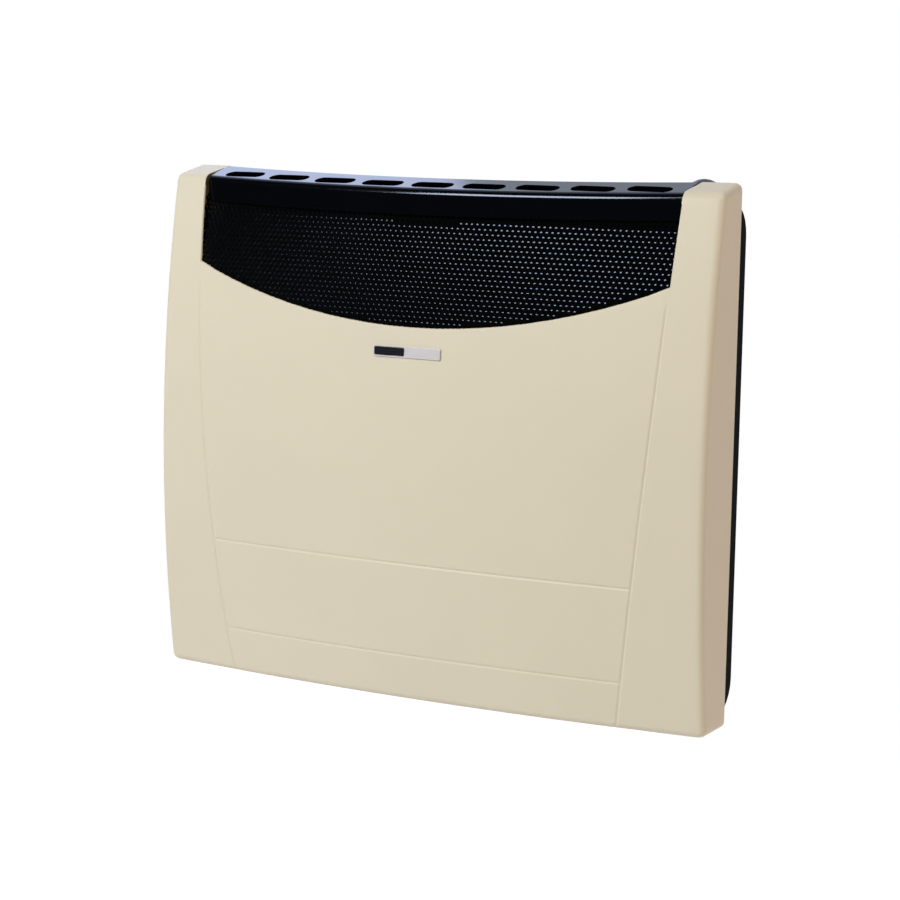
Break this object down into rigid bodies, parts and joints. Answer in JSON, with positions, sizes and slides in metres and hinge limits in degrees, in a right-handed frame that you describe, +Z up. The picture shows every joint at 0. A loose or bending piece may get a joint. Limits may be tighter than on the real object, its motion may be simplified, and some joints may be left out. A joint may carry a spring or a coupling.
{
  "type": "wall mounted gas heater",
  "caption": "Balanced flue gas convector for a wall: bowed cream steel casing, black top grille, curved mesh air outlet and a press-and-turn knob.",
  "frame": {"origin": "on the wall plane, halfway across the heater, at the height of the necks of the two hanging keyholes", "axes": "+Z up, +X to the right of a person facing the heater, +Y into the wall"},
  "size_m": [0.7, 0.1737, 0.6027],
  "materials": {
    "cream_enamel": "satin",
    "black_enamel": "gloss",
    "black_steel": "satin",
    "silver_badge": "satin",
    "dark_badge": "matte",
    "chamber_enamel": "matte",
    "zinc_steel": "satin",
    "stainless": "satin",
    "aluminium": "satin",
    "brass": "satin",
    "copper": "satin",
    "gasket_fibre": "matte",
    "clear_glass": "gloss",
    "ceramic": "satin",
    "black_plastic": "satin",
    "white_plastic": "satin",
    "red_cable": "matte"
  },
  "bodies": {
    "chassis": {"front_casing": "cream_enamel", "top_grille": "black_enamel", "outlet_screen": "black_steel", "badge_plate": "silver_badge", "badge_inlay": "dark_badge", "rear_tray": "black_steel", "rear_heat_shield": "zinc_steel", "chamber_rear_pan": "chamber_enamel", "chamber_gasket": "gasket_fibre", "chamber_front_pan": "chamber_enamel", "burner_door_gasket": "gasket_fibre", "burner_door": "chamber_enamel", "sight_glass": "clear_glass", "sight_glass_ring": "zinc_steel", "air_duct": "zinc_steel", "exhaust_spigot": "stainless", "air_collar": "zinc_steel", "burner_tube": "stainless", "injector": "brass", "injector_holder": "brass", "feed_pipe": "aluminium", "pilot_bracket": "stainless", "pilot_burner": "brass", "pilot_pipe": "aluminium", "thermocouple": "copper", "electrode_insulator": "ceramic", "electrode_wire": "stainless", "ignition_lead": "red_cable", "valve_bracket": "zinc_steel", "valve_body": "aluminium", "magnet_unit": "brass", "valve_head": "white_plastic", "spindle_bush": "white_plastic", "control_shelf": "zinc_steel", "control_bezel": "black_plastic", "igniter_body": "black_plastic", "igniter_nut": "zinc_steel", "inlet_nipple": "brass", "inlet_union_nut": "brass", "thermostat_phial": "copper", "phial_clip": "zinc_steel", "casing_clip_left": "zinc_steel", "casing_tab_left": "zinc_steel", "casing_screw_left": "zinc_steel", "grille_bracket_left": "black_steel", "chamber_bracket_lower_left": "zinc_steel", "chamber_bracket_upper_left": "zinc_steel", "burner_stand_left": "stainless", "casing_clip_right": "zinc_steel", "casing_tab_right": "zinc_steel", "casing_screw_right": "zinc_steel", "grille_bracket_right": "black_steel", "chamber_bracket_lower_right": "zinc_steel", "chamber_bracket_upper_right": "zinc_steel", "burner_stand_right": "stainless"},
    "valve_pin": {"valve_pin": "stainless"},
    "control": {"control_knob": "black_plastic", "control_spindle": "zinc_steel", "spindle_coupling": "brass"},
    "button": {"igniter_button": "white_plastic"}
  },
  "joints": [
    {"name": "knob_press", "type": "slide", "parent": "chassis", "child": "valve_pin", "axis": [0, 0, -1], "range_m": [0, 0.005], "stiffness_N_per_m": 1200, "springref_m": -0.002},
    {"name": "knob_turn", "type": "hinge", "parent": "valve_pin", "child": "control", "pos_m": [0.298, -0.02, 0.09], "axis": [0, 0, 1], "range_deg": [0, 270]},
    {"name": "igniter_press", "type": "slide", "parent": "chassis", "child": "button", "axis": [0, 0, -1], "range_m": [0, 0.006], "stiffness_N_per_m": 1500, "springref_m": -0.002}
  ]
}
